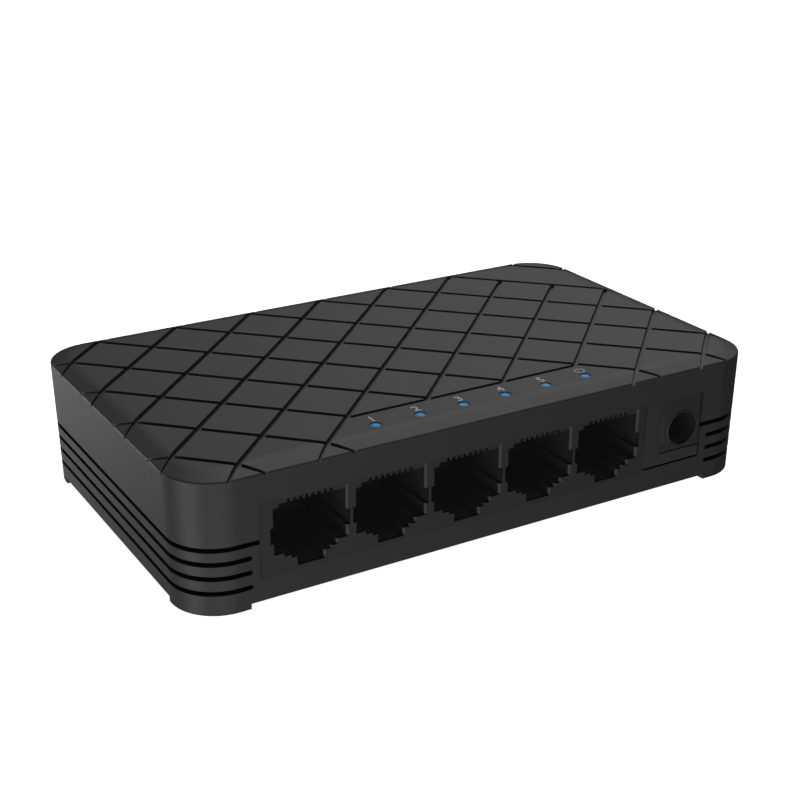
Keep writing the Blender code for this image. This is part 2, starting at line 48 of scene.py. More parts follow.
# Case, the same sizes as the CAD.
WIDTH = 108.4
DEPTH = 64.8
CORNER_R = 8.2
CORNER_STEPS = 20
BASE_Z = 0.9  # underside of the case between the feet
RIM_Z = 22.1
TOP_Z = 23.0
DRAFT = 0.38 / (RIM_Z - BASE_Z)
SHOULDER_IN = 1.9  # the sloping shoulder ends this far in, where it starts to level out
SHOULDER_END = 4.0
SHOULDER_ANGLE = math.radians(17.07)
CREASE_R = 0.36  # round edge between the wall and the shoulder
EDGE_R = 0.1  # round edge under the base and the feet
WALL = 2.0
TOP_PLATE = 2.2
FLOOR = 1.2
SEAM_Z = 11.05
SLIT = 0.82  # height of the open joint line and of the side grooves
LIP_OUT = 1.2  # the base's lip stands this far inside its wall
LIP_H = 2.5
SKIRT = 0.9  # thickness of the cover's wall outside the lip
FOOT_X = 44.1  # each foot fills its corner beyond this place
FOOT_Y = 23.6
FOOT_TOP = 1.7
BEVEL = 0.06  # width of the case's moulded edges
GROOVE_LEVELS = (8.7, 6.3, 3.8)
GROOVE_DEEP = 1.2
VENT_LENGTH = 13.0
VENT_PITCH = 17.0

# Lattice of cuts.
LATTICE = 14.72  # pitch of the cuts, along X and along Y
# Each slope's cut, and the strip's: half widths at the surface and at the bottom, and depth.
CUTS = {1: (0.46, 0.34, 0.66), -1: (0.5, 0.38, 0.54)}
STRIP_CUT = (0.42, 0.32, 0.5)
CUT_OVER = 1.2  # a cutter's height above the top
CUT_LINES = range(-5, 6)
STRIP_Y = -22.6
STRIP_HALF = 22.5
STRIP_LINES = (-3, -2, -1)  # the cuts that stop at the strip
BADGE_LINES = (4, 5)  # the falling cuts that bound the band that rising cuts leave plain

# Front opening, jacks and lights.
OPEN_LEFT = -42.5
OPEN_RIGHT = 42.3
OPEN_TOP = 17.25
FRONT_SILL = 4.75
TONGUE_X = (29.85, 42.05)
TONGUE_BOTTOM = 5.38
SLOT_SILL = 5.02  # top of the front wall below the tongue
TONGUE_THICK = 1.9
JACK_WINDOW = (33.35, 7.35)  # left edge and sill of the tongue's window
ON_BOARD = 5.05  # where the jacks stand, 0.3 above the circuit board
BLOCK_X = (-42.42, 29.9)
BLOCK_FRONT = -32.1
BLOCK_REAR = -14.5
BLOCK_TOP = 17.22
PORT_XS = [-33.8 + 13.97 * i for i in range(5)]
EASING = 0.34  # how far the mouth's right edges are eased
LIP_DEEP = 0.9  # the mouth's front lip, behind which the jack is a little wider
MOUTH_TOP = 16.92
CEILING = 16.2
PORT_DEEP = 12.6
CARRIER_X = 5.6
CARRIER_Z = (7.6, 16.2)
GAP = 0.3  # clearance round the contact carriers
CONTACTS = 8
CONTACT_PITCH = 1.02
COMB_HALF = 0.28
COMB_FOOT = 15.7
JACK_X = (33.38, 42.29)
JACK_Z = (7.4, 17.22)
JACK_FRONT = -31.95
JACK_REAR = -18.0
JACK_FLANGE = 3.0
JACK_BODY_TOP = 16.0
BORE = (38.3, 11.2)
BORE_R = 3.0
# The raised collar round the bore: distance beyond the bore, and place along Y from the face.
COLLAR = [(0.42, 0.5), (0.42, -0.02), (0.34, -0.08), (0.2, -0.11), (0.08, -0.06)]
# The shallow step along the jack's left edge: X at its top and foot, depth, and heights at
# which it starts, is full, starts to fade and ends.
STEP_X = (34.5, 34.0)
STEP_DEEP = 0.16
STEP_Z = (8.9, 9.3, 14.3, 14.7)
BORE_DEEP = 10.5
PIN_R = 1.0
LIGHT_XS = [0.2 + 8.04 * (i - 2.5) for i in range(6)]
LIGHT_Y = -27.2
LIGHT_R = 0.95
LIGHT_GAP = 0.04
TIP_DOME = 0.12  # height of the domed tip of a light
MARK_SIZE = 2.6
MARK_RIGHT = 0.5  # how far right of its light each mark stands
NUMBER_Y = -25.85
POWER_MARK_Y = -24.95
MARK_THICK = 0.012
MARK_SUNK = 0.002
SCREW_XY = [(sx * 48.2, sy * 19.5) for sx in (-1, 1) for sy in (-1, 1)]
SINK_R = 2.5

SHARP = math.radians(32)  # edges at least this sharp stay sharp in the shading
BEVELLED = math.radians(38)  # edges at least this sharp are bevelled


# ---------------------------------------------------------------- mesh helpers


def new_piece(name, bm):
    """Makes an object from a bmesh in millimetres, still in millimetres."""
    bmesh.ops.recalc_face_normals(bm, faces=bm.faces)
    mesh = bpy.data.meshes.new(name)
    bm.to_mesh(mesh)
    bm.free()
    obj = bpy.data.objects.new(name, mesh)
    bpy.context.scene.collection.objects.link(obj)
    return obj


def boolean(obj, bm, operation="DIFFERENCE"):
    """Cuts a bmesh in millimetres out of a piece, or joins it on, at once."""
    tool = new_piece("tool", bm)
    modifier = obj.modifiers.new("Boolean", "BOOLEAN")
    modifier.operation = operation
    modifier.object = tool
    bake(obj)
    bpy.data.objects.remove(tool, do_unlink=True)


def bake(obj):
    """Applies the modifiers of a piece."""
    graph = bpy.context.evaluated_depsgraph_get()
    mesh = bpy.data.meshes.new_from_object(obj.evaluated_get(graph))
    obj.modifiers.clear()
    obj.data = mesh


def bevel(obj, width):
    modifier = obj.modifiers.new("Bevel", "BEVEL")
    modifier.width = width
    modifier.segments = 2
    modifier.limit_method = "ANGLE"
    modifier.angle_limit = BEVELLED
    modifier.use_clamp_overlap = True
    bake(obj)


def finish_piece(obj, material, replaces=None):
    """Cleans a piece, smooths it, converts it to metres and puts it in the frame.

    replaces is the CAD node that it stands for.
    """
    bm = bmesh.new()
    bm.from_mesh(obj.data)
    bmesh.ops.remove_doubles(bm, verts=bm.verts, dist=0.0005)
    bmesh.ops.scale(bm, vec=(MM, MM, MM), verts=bm.verts)
    for face in bm.faces:
        face.smooth = True
    for edge in bm.edges:
        edge.smooth = len(edge.link_faces) == 2 and edge.calc_face_angle(0.0) < SHARP
    bm.to_mesh(obj.data)
    bm.free()
    obj.data.materials.clear()
    obj.data.materials.append(material)
    weighted = obj.modifiers.new("Weighted normals", "WEIGHTED_NORMAL")
    weighted.keep_sharp = True
    weighted.weight = 60
    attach(obj, "root")
    if replaces:
        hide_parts(replaces)


def add_box(bm, low, high):
    low, high = Vector(low), Vector(high)
    place = Matrix.Translation((low + high) / 2) @ Matrix.Diagonal((*(high - low), 1.0))
    bmesh.ops.create_cube(bm, size=1.0, matrix=place)


def add_rod(bm, centre, radius, low, high, segments=48, axis="Z"):
    """A round bar along Z through centre (x, y), or along Y through centre (x, z)."""
    a, b = centre
    middle = (low + high) / 2
    place = Matrix.Translation((a, b, middle))
    if axis == "Y":
        place = Matrix.Translation((a, middle, b)) @ Matrix.Rotation(math.pi / 2, 4, "X")
    bmesh.ops.create_cone(
        bm,
        cap_ends=True,
        segments=segments,
        radius1=radius,
        radius2=radius,
        depth=high - low,
        matrix=place,
    )


def circle(centre, radius, level, count, axis="Z"):
    """Points of a circle round Z through centre (x, y), or round Y through centre (x, z)."""
    a, b = centre
    points = []
    for i in range(count):
        angle = 2 * math.pi * i / count
        u, v = a + radius * math.cos(angle), b + radius * math.sin(angle)
        points.append((u, level, v) if axis == "Y" else (u, v, level))
    return points


def add_rings(bm, rings):
    """Skins closed rings of points, one after another, and caps the two ends."""
    made = [[bm.verts.new(point) for point in ring] for ring in rings]
    for lower, upper in zip(made, made[1:]):
        for i in range(len(lower)):
            j = (i + 1) % len(lower)
            bm.faces.new((lower[i], lower[j], upper[j], upper[i]))
    bm.faces.new(made[0])
    bm.faces.new(made[-1])


def add_prism(bm, outline, plane, low, high):
    """Extrudes an outline. Its two numbers are the plane's axes, and low and high the third's."""
    axes = {"XY": (0, 1, 2), "XZ": (0, 2, 1), "YZ": (1, 2, 0)}[plane]
    rings = []
    for level in (low, high):
        ring = []
        for point in outline:
            place = [0.0, 0.0, 0.0]
            place[axes[0]], place[axes[1]], place[axes[2]] = point[0], point[1], level
            ring.append(place)
        rings.append(ring)
    add_rings(bm, rings)


def grown(outline, by):
    """An outline moved outwards by a distance, corners mitred. Its points run anticlockwise."""
    moved = []
    count = len(outline)
    for i in range(count):
        before = Vector(outline[i]) - Vector(outline[i - 1])
        after = Vector(outline[(i + 1) % count]) - Vector(outline[i])
        first = Vector((before.y, -before.x)).normalized()
        second = Vector((after.y, -after.x)).normalized()
        step = (first + second) / (1.0 + first.dot(second))
        moved.append(Vector(outline[i]) + step * by)
    return moved


def case_inset(z):
    """How far the wall's draft brings it in at a height."""
    return DRAFT * max(RIM_Z - z, 0.0)


def case_ring(inset, z, steps=CORNER_STEPS):
    """The case's outline at a height, a rectangle with round corners, moved in by inset."""
    radius = CORNER_R - inset
    points = []
    for quarter in range(4):
        sx = 1 if quarter in (0, 3) else -1
        sy = 1 if quarter in (0, 1) else -1
        cx = sx * (WIDTH / 2 - CORNER_R)
        cy = sy * (DEPTH / 2 - CORNER_R)
        for step in range(steps + 1):
            angle = (quarter + step / steps) * math.pi / 2
            points.append((cx + radius * math.cos(angle), cy + radius * math.sin(angle), z))
    return points


def round_foot(low):
    """Levels of the wall's round lower edge, which starts at a height."""
    levels = []
    for step in range(5):
        angle = math.pi / 2 * step / 4
        z = low + EDGE_R * (1 - math.cos(angle))
        levels.append((case_inset(z) + EDGE_R * (1 - math.sin(angle)), z))
    return levels


def add_loft(bm, levels):
    """Skins the case's outline through (inset, height) levels."""
    add_rings(bm, [case_ring(inset, z) for inset, z in levels])


# ---------------------------------------------------------------- upper cover


def shoulder_levels():
    """Inset and height from the wall's top, over the crease and the shoulder, to the flat top."""
    slope = math.tan(SHOULDER_ANGLE)
    levels = [(case_inset(RIM_Z - 2 * CREASE_R), RIM_Z - 2 * CREASE_R)]
    # The crease is an arc between the wall and the shoulder.
    turn = math.pi / 2 - SHOULDER_ANGLE
    tangent = CREASE_R * math.tan(turn / 2)
    for step in range(6):
        angle = turn * step / 5
        inset = CREASE_R * (1 - math.cos(angle))
        levels.append((inset, RIM_Z - tangent + CREASE_R * math.sin(angle)))
    levels.append((SHOULDER_IN / 2, RIM_Z + slope * SHOULDER_IN / 2))
    radius = (SHOULDER_END - SHOULDER_IN) / math.sin(SHOULDER_ANGLE)
    for step in range(7):
        angle = SHOULDER_ANGLE * (1 - step / 6)
        inset = SHOULDER_END - radius * math.sin(angle)
        levels.append((inset, TOP_Z - radius * (1 - math.cos(angle))))
    return levels


def groove_cutter():
    """Level grooves round both ends of the case, with round ends at the edge of each foot."""
    bm = bmesh.new()
    half = SLIT / 2
    for z in GROOVE_LEVELS:
        for side in (-1, 1):
            ring = [(x, y) for x, y, _ in case_ring(case_inset(z) + GROOVE_DEEP, z, 24)]
            inside = [(x, y) for x, y in ring if x * side > FOOT_X]
            inside.sort(key=lambda p: math.atan2(p[1], (p[0] - side * FOOT_X) * side))
            edge = inside[-1][1]
            far_x, far_y = side * WIDTH, DEPTH
            rings = []
            for step in range(9):
                angle = math.pi * (step / 8 - 0.5)
                end_x = side * (FOOT_X - half * math.cos(angle))
                outline = [
                    (end_x, -edge), *inside, (end_x, edge),
                    (end_x, far_y), (far_x, far_y), (far_x, -far_y), (end_x, -far_y),
                ]
                level = z + half * math.sin(angle)
                rings.append([(px, py, level) for px, py in outline])
            add_rings(bm, rings)
    return bm


def inset_of(place):
    """How far a place in plan is inside the case's rim."""
    qx = abs(place.x) - (WIDTH / 2 - CORNER_R)
    qy = abs(place.y) - (DEPTH / 2 - CORNER_R)
    outside = math.hypot(max(qx, 0.0), max(qy, 0.0))
    return CORNER_R - outside - min(max(qx, qy), 0.0)


def top_height(inset):
    """Height of the cover's top at a distance inside the rim."""
    if inset >= SHOULDER_END:
        return TOP_Z
    if inset <= SHOULDER_IN:
        return RIM_Z + math.tan(SHOULDER_ANGLE) * max(inset, 0.0)
    radius = (SHOULDER_END - SHOULDER_IN) / math.sin(SHOULDER_ANGLE)
    run = SHOULDER_END - inset
    return TOP_Z - radius + math.sqrt(radius * radius - run * run)


def place_at_inset(outer, inner, inset):
    """The place between two others in plan that is this far inside the rim."""
    for _ in range(40):
        middle = (outer + inner) / 2
        if inset_of(middle) < inset:
            outer = middle
        else:
            inner = middle
    return (outer + inner) / 2


def add_cut(bm, start, end, sizes):
    """A cut with leaning sides between two places, whose floor follows the cover's top."""
    start, end = Vector(start), Vector(end)
    places = [start.lerp(end, i / 200) for i in range(201)]
    deepest = max(places, key=inset_of)
    arc = [SHOULDER_IN + (SHOULDER_END - SHOULDER_IN) * i / 6 for i in range(7)]
    levels = [-0.6, 0.0, *arc]
    run = []
    for outer in (start, end):
        reached = [level for level in levels if inset_of(outer) < level < inset_of(deepest)]
        side = [place_at_inset(outer, deepest, level) for level in reached]
        if inset_of(outer) > 0:
            side.insert(0, outer)
        run.append(side)
    stations = run[0] + run[1][::-1]
    if len(stations) < 2:
        return
    along = (end - start).normalized()
    across = Vector((-along.y, along.x))
    surface, foot, depth = sizes
    wide = surface + (surface - foot) / depth * CUT_OVER
    rings = []
    for place in stations:
        inset = inset_of(place)
        top = top_height(inset)
        narrow = 0.6 + 0.4 * min(max(inset, 0.0) / SHOULDER_END, 1.0)
        low, high = across * foot * narrow, across * wide * narrow
        rings.append([
            (*(place - low), top - depth * narrow),
            (*(place + low), top - depth * narrow),
            (*(place + high), top + CUT_OVER),
            (*(place - high), top + CUT_OVER),
        ])
    add_rings(bm, rings)


def lattice_cutter(slope):
    """The parallel cuts that rise to the right (slope 1) or fall to the right (slope -1)."""
    bm = bmesh.new()
    for line in CUT_LINES:
        offset = LATTICE * line
        start, end = -WIDTH, WIDTH
        if line in STRIP_LINES:
            stop = (STRIP_Y - offset) / slope
            start, end = (stop, WIDTH) if slope > 0 else (-WIDTH, stop)
        spans = [(start, end)]
        if slope > 0:
            near, far = [(LATTICE * badge - offset) / 2 for badge in BADGE_LINES]
            spans = [(start, near), (far, end)]
        for low, high in spans:
            if high > low:
                ends = [(x, slope * x + offset) for x in (low, high)]
                add_cut(bm, *ends, CUTS[slope])
    return bm


def make_upper_cover(material):
    seam = SEAM_Z + SLIT / 2
    lap = seam + LIP_H
    under = TOP_Z - TOP_PLATE
    levels = [
        *reversed(shoulder_levels()),
        (case_inset(seam), seam),
        (case_inset(seam) + SKIRT, seam),
        (case_inset(lap) + SKIRT, lap),
        (case_inset(lap) + WALL, lap),
        (case_inset(under) + WALL, under),
    ]
    bm = bmesh.new()
    add_loft(bm, levels)
    cover = new_piece("case_top", bm)

    opening = bmesh.new()
    add_box(opening, (OPEN_LEFT, -DEPTH, 0), (OPEN_RIGHT, -DEPTH / 2 + 4, OPEN_TOP))
    boolean(cover, opening)

    holes = bmesh.new()
    for x in LIGHT_XS:
        add_rod(holes, (x, LIGHT_Y), LIGHT_R + LIGHT_GAP, under - 1, TOP_Z + 1)
    boolean(cover, holes)
    for slope in (1, -1):
        boolean(cover, lattice_cutter(slope))
    strip = bmesh.new()
    add_cut(strip, (-STRIP_HALF, STRIP_Y), (STRIP_HALF, STRIP_Y), STRIP_CUT)
    boolean(cover, strip)
    bevel(cover, BEVEL)

    # The tongue keeps its moulded edges sharp, so that it meets the jack block without a groove.
    tongue = bmesh.new()
    left, right = TONGUE_X
    window_left, window_sill = JACK_WINDOW
    root = OPEN_TOP + 1.5
    outline = [
        (left, TONGUE_BOTTOM), (right, TONGUE_BOTTOM), (right, window_sill),
        (window_left, window_sill), (window_left, root), (left, root),
    ]
    add_prism(tongue, outline, "XZ", -DEPTH / 2, -DEPTH / 2 + TONGUE_THICK)
    for vert in tongue.verts:
        vert.co.y += case_inset(vert.co.z)
    boolean(cover, tongue, "UNION")
    finish_piece(cover, material, "upper_cover")


# ---------------------------------------------------------------- lower case


def make_lower_case(material):
    seam = SEAM_Z - SLIT / 2
    lip = seam + LIP_H
    floor = BASE_Z + FLOOR
    levels = [
        *round_foot(BASE_Z),
        (case_inset(seam), seam),
        (case_inset(seam) + LIP_OUT, seam),
        (case_inset(lip) + LIP_OUT, lip),
        (case_inset(lip) + WALL, lip),
        (case_inset(floor) + WALL, floor),
    ]
    bm = bmesh.new()
    add_loft(bm, levels)
    case = new_piece("case_base", bm)

    opening = bmesh.new()
    add_box(opening, (OPEN_LEFT, -DEPTH, FRONT_SILL), (TONGUE_X[0], -DEPTH / 2 + 4, RIM_Z))
    boolean(case, opening)
    opening = bmesh.new()
    low = (TONGUE_X[0] - 0.1, -DEPTH, SLOT_SILL)
    add_box(opening, low, (OPEN_RIGHT, -DEPTH / 2 + 4, RIM_Z))
    boolean(case, opening)

    # The feet carry the wall's outline down to the ground.
    bm = bmesh.new()
    add_loft(bm, [*round_foot(0.0), (case_inset(FOOT_TOP), FOOT_TOP)])
    feet = new_piece("feet", bm)
    cross = bmesh.new()
    far = WIDTH
    outline = [
        (FOOT_X, -far), (FOOT_X, -FOOT_Y), (far, -FOOT_Y), (far, FOOT_Y),
        (FOOT_X, FOOT_Y), (FOOT_X, far), (-FOOT_X, far), (-FOOT_X, FOOT_Y),
        (-far, FOOT_Y), (-far, -FOOT_Y), (-FOOT_X, -FOOT_Y), (-FOOT_X, -far),
    ]
    add_prism(cross, outline, "XY", -1, 3)
    boolean(feet, cross)
    bm = bmesh.new()
    bm.from_mesh(feet.data)
    bpy.data.objects.remove(feet, do_unlink=True)
    boolean(case, bm, "UNION")

    sinks = bmesh.new()
    for centre in SCREW_XY:
        add_rod(sinks, centre, SINK_R, -1, floor + 0.6)
    boolean(case, sinks)
    boolean(case, groove_cutter())
    vents = bmesh.new()
    for z in GROOVE_LEVELS:
        for side in (-1, 1):
            reach = sorted((side * (WIDTH / 2 - WALL - 1.5), side * (WIDTH / 2 - 0.5)))
            for step in (-1, 0, 1):
                y = step * VENT_PITCH
                low = (reach[0], y - VENT_LENGTH / 2, z - SLIT / 2 + 0.01)
                add_box(vents, low, (reach[1], y + VENT_LENGTH / 2, z + SLIT / 2 - 0.01))
    boolean(case, vents)
    bevel(case, BEVEL)
    finish_piece(case, material, "lower_case")


# ---------------------------------------------------------------- jacks


def port_outline(centre_x, eased, top, by):
    """One jack's mouth, from the comb of contact slots above to the latch notch below.

    eased tells how much of the right edges' easing is left at this depth, and by widens the mouth.
    """
    right = [
        (2.35, 5.35, 1), (2.35, 6.7, 1), (3.4, 6.7, 1), (3.4, 7.15, 1), (4.5, 7.15, 1),
        (4.5, 8.0, 1), (6.3, 8.0, 1), (6.3, 9.92, 1), (6.6, 9.92, 0), (6.6, 12.65, 0),
        (6.3, 12.65, 1), (6.3, top, 1),
    ]
    left = [
        (-5.4, top), (-5.4, 15.85), (-6.36, 15.7), (-6.36, 12.65), (-6.87, 12.65),
        (-6.87, 9.92), (-6.36, 9.92), (-6.36, 8.0), (-4.7, 8.0), (-4.7, 7.4), (-3.5, 7.4),
        (-3.5, 6.9), (-2.55, 6.9), (-2.55, 5.35),
    ]
    outline = [(centre_x + x - EASING * ease * (1 - eased), z) for x, z, ease in right]
    outline += [(centre_x + x, z) for x, z in left]
    return grown(outline, by)


def make_jack_block(material):
    bm = bmesh.new()
    low = (BLOCK_X[0], BLOCK_FRONT, ON_BOARD)
    add_box(bm, low, (BLOCK_X[1], BLOCK_REAR, BLOCK_TOP))
    block = new_piece("jack_block", bm)
    skirt = bmesh.new()
    low = (BLOCK_X[0], BLOCK_FRONT, FRONT_SILL + 0.02)
    add_box(skirt, low, (BLOCK_X[1], BLOCK_FRONT + 1.9, ON_BOARD + 0.2))
    boolean(block, skirt, "UNION")
    mouths = bmesh.new()
    for x in PORT_XS:
        rings = []
        levels = (
            (1.0, MOUTH_TOP, 0.0, -0.1), (1.0, MOUTH_TOP, 0.0, 0.02),
            (0.0, MOUTH_TOP, 0.0, EASING), (0.0, CEILING, 0.0, EASING),
            (0.0, CEILING, 0.0, LIP_DEEP), (0.0, CEILING, 0.25, LIP_DEEP),
            (0.0, CEILING, 0.25, PORT_DEEP),
        )
        for eased, top, by, y in levels:
            outline = port_outline(x, eased, top, by)
            rings.append([(px, BLOCK_FRONT + y, pz) for px, pz in outline])
        add_rings(mouths, rings)
    boolean(block, mouths)
    pockets = bmesh.new()
    half = CARRIER_X + GAP
    for x in PORT_XS:
        low = (x - half, BLOCK_FRONT + PORT_DEEP - 1, CARRIER_Z[0] - GAP)
        add_box(pockets, low, (x + half, BLOCK_REAR + 1, CARRIER_Z[1] + GAP))
    boolean(block, pockets)
    comb = bmesh.new()
    for x in PORT_XS:
        for i in range(CONTACTS):
            centre = x + (i - (CONTACTS - 1) / 2) * CONTACT_PITCH
            low = (centre - COMB_HALF, BLOCK_FRONT + 0.2, COMB_FOOT)
            high = (centre + COMB_HALF, BLOCK_FRONT + PORT_DEEP - 0.5, MOUTH_TOP - 0.02)
            add_box(comb, low, high)
    boolean(block, comb)
    bevel(block, 0.05)
    finish_piece(block, material, "rj45_housing")


def make_power_jack(material):
    bm = bmesh.new()
    flange_rear = JACK_FRONT + JACK_FLANGE
    add_box(bm, (JACK_X[0], JACK_FRONT, JACK_Z[0]), (JACK_X[1], flange_rear + 1, JACK_Z[1]))
    jack = new_piece("power_jack_shell", bm)
    bevel(jack, 0.1)
    step = bmesh.new()
    left = JACK_X[0] - 0.1
    rings = []
    for z, deep in zip(STEP_Z, (-0.02, STEP_DEEP, STEP_DEEP, -0.02)):
        corner = [
            (left, -1), (STEP_X[0], -1), (STEP_X[0], min(deep, 0.0)),
            (STEP_X[1], deep), (left, deep),
        ]
        rings.append([(px, JACK_FRONT + py, z) for px, py in corner])
    add_rings(step, rings)
    boolean(jack, step)
    body = bmesh.new()
    low = (JACK_X[0] + 0.2, flange_rear, ON_BOARD)
    add_box(body, low, (JACK_X[1] - 0.2, JACK_REAR, JACK_BODY_TOP))
    boolean(jack, body, "UNION")
    rings = [circle(BORE, BORE_R + out, JACK_FRONT + y, 72, "Y") for out, y in COLLAR]
    collar = bmesh.new()
    add_rings(collar, rings)
    boolean(jack, collar, "UNION")
    bore = bmesh.new()
    add_rod(bore, BORE, BORE_R, JACK_FRONT - 1, JACK_FRONT + BORE_DEEP, 72, "Y")
    boolean(jack, bore)
    channels = bmesh.new()
    pin_rear = JACK_FRONT + BORE_DEEP - 1
    add_rod(channels, BORE, PIN_R + 0.3, pin_rear, JACK_REAR + 1, 24, "Y")
    x, z = BORE
    low = (x - 0.9, JACK_FRONT + 4.6, z + BORE_R - 0.6)
    add_box(channels, low, (x + 0.9, JACK_REAR + 1, z + BORE_R + 1.0))
    boolean(jack, channels)
    finish_piece(jack, material, "power_jack_housing")


def make_light_guide(material):
    under, over = 17.5, 18.6
    rear_low, rear_high = -13.6, -12.0
    bm = bmesh.new()
    half = LIGHT_R - 0.1
    outline = [
        (rear_low, 6.3), (rear_high, 6.3), (rear_high, over),
        (LIGHT_Y - half, over), (LIGHT_Y - half, under), (rear_low, under),
    ]
    for x in LIGHT_XS:
        add_prism(bm, outline, "YZ", x - half, x + half)
    guide = new_piece("light_pipes", bm)
    bar = bmesh.new()
    reach = LIGHT_XS[-1] + 0.5
    add_box(bar, (-reach, -20.5, under + 0.1), (reach, -18.5, over - 0.1))
    boolean(guide, bar, "UNION")
    bevel(guide, 0.1)
    levels = [(LIGHT_R, under - 0.1)]
    for step in range(9):
        share = 1 - step / 9
        levels.append((LIGHT_R * share, TOP_Z - TIP_DOME * share * share))
    posts = bmesh.new()
    for x in LIGHT_XS:
        add_rings(posts, [circle((x, LIGHT_Y), radius, z, 40) for radius, z in levels])
    boolean(guide, posts, "UNION")
    finish_piece(guide, material, "light_guide")


# ---------------------------------------------------------------- printed marks


def make_marks(material):
    """Port numbers and a plain power ring, printed behind the lights."""
    made = []
    for number, x in enumerate(LIGHT_XS[:5], 1):
        curve = bpy.data.curves.new(f"mark_{number}", "FONT")
        curve.body = str(number)
        curve.size = MARK_SIZE
        curve.offset = 0.05
        curve.align_x = "CENTER"
        text = bpy.data.objects.new(f"mark_{number}", curve)
        bpy.context.scene.collection.objects.link(text)
        graph = bpy.context.evaluated_depsgraph_get()
        mesh = bpy.data.meshes.new_from_object(text.evaluated_get(graph))
        bpy.data.objects.remove(text, do_unlink=True)
        bm = bmesh.new()
        bm.from_mesh(mesh)
        bmesh.ops.translate(bm, vec=(x + MARK_RIGHT, NUMBER_Y, 0), verts=bm.verts)
        made.append((f"port_number_{number}", bm))
    bm = bmesh.new()
    centre = (LIGHT_XS[5] + MARK_RIGHT, POWER_MARK_Y)
    ring = []
    for i in range(33):
        angle = math.radians(125 + 290 * i / 32)
        ring.append((math.cos(angle), math.sin(angle)))
    inner = [bm.verts.new((centre[0] + 0.72 * c, centre[1] + 0.72 * s, 0)) for c, s in ring]
    outer = [bm.verts.new((centre[0] + 0.92 * c, centre[1] + 0.92 * s, 0)) for c, s in ring]
    for i in range(32):
        bm.faces.new((inner[i], inner[i + 1], outer[i + 1], outer[i]))
    bar = [(-0.1, 0.1), (0.1, 0.1), (0.1, 1.0), (-0.1, 1.0)]
    bm.faces.new([bm.verts.new((centre[0] + x, centre[1] + y, 0)) for x, y in bar])
    made.append(("power_mark", bm))
    for name, bm in made:
        grown_part = bmesh.ops.extrude_face_region(bm, geom=list(bm.faces))["geom"]
        top = [item for item in grown_part if isinstance(item, bmesh.types.BMVert)]
        bmesh.ops.translate(bm, vec=(0, 0, MARK_THICK), verts=top)
        bmesh.ops.translate(bm, vec=(0, 0, TOP_Z - MARK_SUNK), verts=bm.verts)
        finish_piece(new_piece(name, bm), material)


# ---------------------------------------------------------------- materials


class Nodes:
    """A material's node tree, with short calls for the nodes used here."""

    def __init__(self, name):
        self.material = bpy.data.materials.new(name)
        self.material.use_nodes = True
        self.tree = self.material.node_tree
        self.shader = self.tree.nodes["Principled BSDF"]
        self.coord = self.add("ShaderNodeTexCoord").outputs["Object"]

    def add(self, kind, **values):
        node = self.tree.nodes.new(kind)
        for key, value in values.items():
            setattr(node, key, value)
        return node

    def link(self, source, target):
        self.tree.links.new(source, target)

    def noise(self, size, detail=3.0, rough=0.55, stretch=(1, 1, 1)):
        """Noise whose features are about size millimetres across."""
        mapping = self.add("ShaderNodeMapping")
        mapping.inputs["Scale"].default_value = stretch
        self.link(self.coord, mapping.inputs["Vector"])
        node = self.add("ShaderNodeTexNoise")
        node.inputs["Scale"].default_value = 1.0 / (size * MM)
        node.inputs["Detail"].default_value = detail
        node.inputs["Roughness"].default_value = rough
        self.link(mapping.outputs["Vector"], node.inputs["Vector"])
        return node.outputs["Fac"]

    def span(self, source, low, high, start=0.3, stop=0.7):
        node = self.add("ShaderNodeMapRange")
        node.inputs["From Min"].default_value = start
        node.inputs["From Max"].default_value = stop
        node.inputs["To Min"].default_value = low
        node.inputs["To Max"].default_value = high
        self.link(source, node.inputs["Value"])
        return node.outputs["Result"]

    def blend(self, factor, first, second):
        node = self.add("ShaderNodeMix", data_type="RGBA")
        self.link(factor, node.inputs["Factor"])
        for socket, value in (("A", first), ("B", second)):
            target = [s for s in node.inputs if s.name == socket and s.type == "RGBA"][0]
            if isinstance(value, tuple):
                target.default_value = (*value, 1.0)
            else:
                self.link(value, target)
        return [s for s in node.outputs if s.type == "RGBA"][0]

    def set(self, name, value):
        if isinstance(value, (int, float, tuple)):
            self.shader.inputs[name].default_value = value
        else:
            self.link(value, self.shader.inputs[name])

    def bump(self, height, distance, strength=1.0):
        node = self.add("ShaderNodeBump")
        node.inputs["Distance"].default_value = distance * MM
        node.inputs["Strength"].default_value = strength
        self.link(height, node.inputs["Height"])
        return node.outputs["Normal"]

    def step_of(self, axis, edge, soft=0.02):
        """0 below a place in millimetres along an axis, and 1 above it."""
        split = self.add("ShaderNodeSeparateXYZ")
        self.link(self.coord, split.inputs["Vector"])
        return self.span(split.outputs[axis], 0.0, 1.0, (edge - soft) * MM, (edge + soft) * MM)


BLACKS = ((0.0175, 0.0175, 0.018), (0.019, 0.019, 0.0195))  # darkest and lightest plastic


def case_plastic():
    """Moulded black plastic: fine eroded grain, patchy gloss, and sharp edges lightened, partly as
    wear and partly as a painted highlight.
    """
    m = Nodes("grained_case_plastic")
    tint = m.blend(m.span(m.noise(9.0), 0.0, 1.0), *BLACKS)
    # Sharp outer edges are lightened in patches: partly wear, partly a painted highlight.
    edge = m.add("ShaderNodeNewGeometry").outputs["Pointiness"]
    edge_wear_and_highlight = m.add("ShaderNodeMath", operation="MULTIPLY")
    m.link(m.span(edge, 0.0, 0.5, 0.52, 0.62), edge_wear_and_highlight.inputs[0])
    m.link(m.noise(0.8, 4.0), edge_wear_and_highlight.inputs[1])
    wear_and_highlight_colour = tuple(channel * 1.8 for channel in BLACKS[1])
    m.set("Base Color", m.blend(edge_wear_and_highlight.outputs[0], tint, wear_and_highlight_colour))
    m.set("Roughness", m.span(m.noise(2.5, 4.0), 0.405, 0.44))
    m.set("Normal", m.bump(m.noise(0.16, 2.0, 0.6), 0.012))
    return m.material


